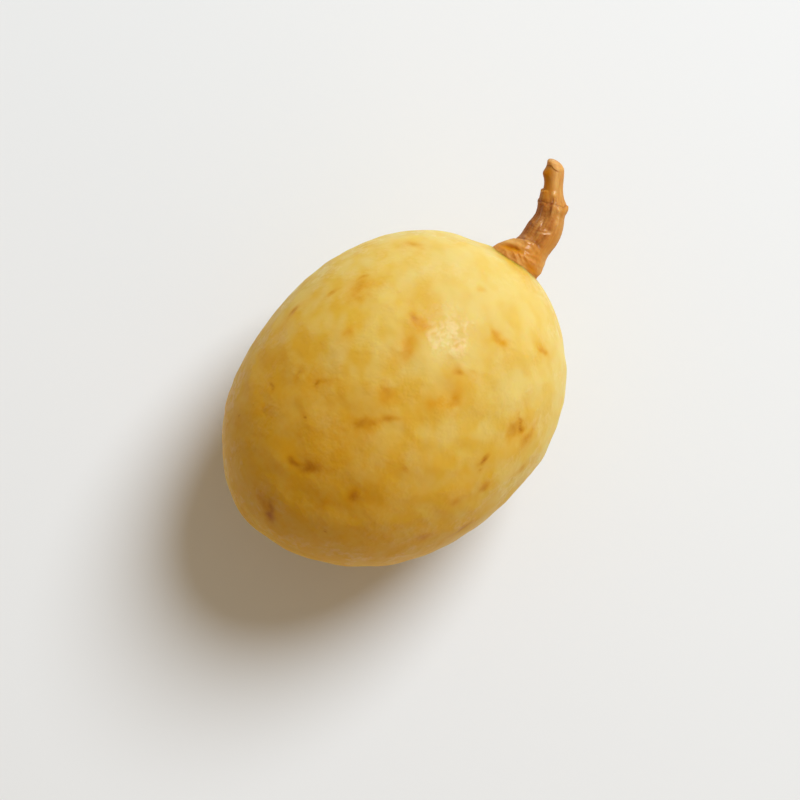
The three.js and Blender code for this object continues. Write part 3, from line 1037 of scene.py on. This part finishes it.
def bark_material():
    """Fibres of two browns, with a layer of colour for each kind of mark."""
    material = new_material("dried_stem_bark")
    tree = material.node_tree
    follow = node(tree, "ShaderNodeAttribute", "Vector", attribute_name="grain")
    noise = {}
    # name, size of the features round the stem and along it (mm), detail
    for name, around_mm, along_mm, detail in (
        ("fibres", 0.35, 2.2, 3.0),
        ("blotches", 1.2, 1.8, 3.0),
        ("pores", 0.25, 0.4, 2.0),
    ):
        settings = {"Vector": follow, "Scale": (1 / around_mm, 1 / around_mm, 1 / along_mm)}
        stretched = node(tree, "ShaderNodeMapping", "Vector", settings)
        settings = {"Vector": stretched, "Scale": 1.0, "Detail": detail, "Roughness": 0.6}
        noise[name] = node(tree, "ShaderNodeTexNoise", "Fac", settings)

    settings = {"Value": noise["fibres"], "From Min": 0.35, "From Max": 0.7}
    share = node(tree, "ShaderNodeMapRange", "Result", settings, interpolation_type="SMOOTHSTEP")
    settings = {"Factor": share, "A": linear("#B06E30"), "B": linear("#C2883E")}
    colour = node(tree, "ShaderNodeMix", "Result", settings, data_type="RGBA")
    colour = stained(tree, colour, BARK_LAYERS, noise)

    # Where the bark was rubbed or folded it shines.
    gloss = node(tree, "ShaderNodeAttribute", "Fac", attribute_name="gloss")

    normal = raised(tree, ((noise["fibres"], 0.03), (noise["pores"], 0.02)))
    shader = node(
        tree,
        "ShaderNodeBsdfPrincipled",
        "BSDF",
        {
            "Base Color": colour,
            "Normal": normal,
            "Roughness": 0.55,
            "IOR": 1.45,
            "Specular IOR Level": 0.12,
            "Coat Weight": gloss,
            "Coat Roughness": 0.3,
            "Coat IOR": 1.45,
            "Subsurface Weight": 0.4,
            "Subsurface Radius": (1.0, 0.45, 0.15),
            "Subsurface Scale": 1.2 * MM,
        },
    )
    node(tree, "ShaderNodeOutputMaterial", None, {"Surface": shader})
    return material


stem.data.materials.append(bark_material())

# %% [markdown]
# ## The set
# The root lies on a matt white board. One large soft lamp stands high on the stem's side, a weak warm
# card low on one side throws light back under the root, and a pale sky fills the shadows. The camera
# looks straight down with a long lens, so the root's outline is almost the true one.

# %% Floor
FLOOR_RADIUS = 1.6
FLOOR_HEIGHT = -0.02 * MM  # just below the flat spot, so that the two faces do not fight
FLOOR_CORNERS = 96
floor_mesh = bpy.data.meshes.new("floor")
turn = np.linspace(0, 2 * np.pi, FLOOR_CORNERS, endpoint=False)
floor_level = np.full(FLOOR_CORNERS, FLOOR_HEIGHT)
rim = np.stack([FLOOR_RADIUS * np.cos(turn), FLOOR_RADIUS * np.sin(turn), floor_level], axis=-1)
floor_mesh.from_pydata(rim, [], [list(range(FLOOR_CORNERS))])
floor = bpy.data.objects.new("floor", floor_mesh)
bpy.context.scene.collection.objects.link(floor)
board = new_material("matt_white_board")
settings = {"Base Color": linear("#E6E8E8"), "Roughness": 0.9, "Specular IOR Level": 0.2}
paper = node(board.node_tree, "ShaderNodeBsdfPrincipled", "BSDF", settings)
node(board.node_tree, "ShaderNodeOutputMaterial", None, {"Surface": paper})
floor_mesh.materials.append(board)
floor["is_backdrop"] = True

# %% Camera
tuber_low, tuber_high = (np.array(corner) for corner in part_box("tuber"))
middle = (tuber_low + tuber_high) / 2
VIEW_TURN = -42  # degrees: the long axis climbs to the upper right of the picture
VIEW_DISTANCE = 0.32
VIEW_WIDTH = 0.1151
AIM_OFFSET = np.array([0.9, -0.45, 0]) * MM
SENSOR = 36.0
aim = middle + AIM_OFFSET
camera_data = bpy.data.cameras.new("camera")
camera_data.sensor_width = SENSOR
camera_data.lens = SENSOR * VIEW_DISTANCE / VIEW_WIDTH
camera_data.clip_start = 0.01
camera = bpy.data.objects.new("camera", camera_data)
camera.location = (aim[0], aim[1], middle[2] + VIEW_DISTANCE)
camera.rotation_euler = (0, 0, math.radians(VIEW_TURN))
bpy.context.scene.collection.objects.link(camera)
bpy.context.scene.camera = camera

# %% Lamp and card
# name, around, up (degrees), distance, width across (m), power (W), colour
SOFT_LIGHTS = [
    ("soft_box", 8.0, 46.7, 1.3, 0.65, 19.6, (0.85, 0.915, 1.0)),
    ("warm_card", -95.0, 11.0, 1.0, 0.5, 0.9, (1.0, 0.6, 0.3)),
]
for name, around, up, distance_away, width, power, tint in SOFT_LIGHTS:
    light_data = bpy.data.lights.new(name, "AREA")
    light_data.shape = "DISK"
    light_data.size = width
    light_data.energy = power
    light_data.color = tint
    light = bpy.data.objects.new(name, light_data)
    light.location = direction(around, up) * distance_away
    light.rotation_euler = (0, math.radians(90 - up), math.radians(around))
    bpy.context.scene.collection.objects.link(light)
    print(name, "stands at", tuple(round(place, 2) for place in light.location))

# %% Sky
# The camera sees one colour, and the root is lit by a warmer and weaker one.
SKY_SEEN = linear("#F2F1EE")
SKY_FILL = (1.0, 0.81, 0.58, 1.0)
SKY_FILL_STRENGTH = 0.355
sky = bpy.data.worlds.new("pale_sky")
sky.use_nodes = True
air = sky.node_tree
air.nodes.clear()
seen = node(air, "ShaderNodeBackground", "Background", {"Color": SKY_SEEN, "Strength": 1.0})
settings = {"Color": SKY_FILL, "Strength": SKY_FILL_STRENGTH}
fill = node(air, "ShaderNodeBackground", "Background", settings)
straight = node(air, "ShaderNodeLightPath", "Is Camera Ray")
chosen = node(air, "ShaderNodeMixShader", "Shader", {0: straight, 1: fill, 2: seen})
node(air, "ShaderNodeOutputWorld", None, {"Surface": chosen})
bpy.context.scene.world = sky
bpy.context.scene.view_settings.view_transform = "Standard"

# %% [markdown]
# ## Joining the pieces to the model
# Each new piece moves with the model's one body and stands for the plain solid of the same name. The
# two boxes are written down so that they can be compared.

# %% Pieces and sizes
for piece, name, slot in ((tuber, "tuber", "tuber_flesh"), (stem, "stem", "stem_bark")):
    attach(piece, "root")
    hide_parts(name)

visual_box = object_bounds()
sizes = {
    "cad": [list(map(float, corner)) for corner in model_box],
    "visual": [list(map(float, corner)) for corner in visual_box],
}
print(sizes)
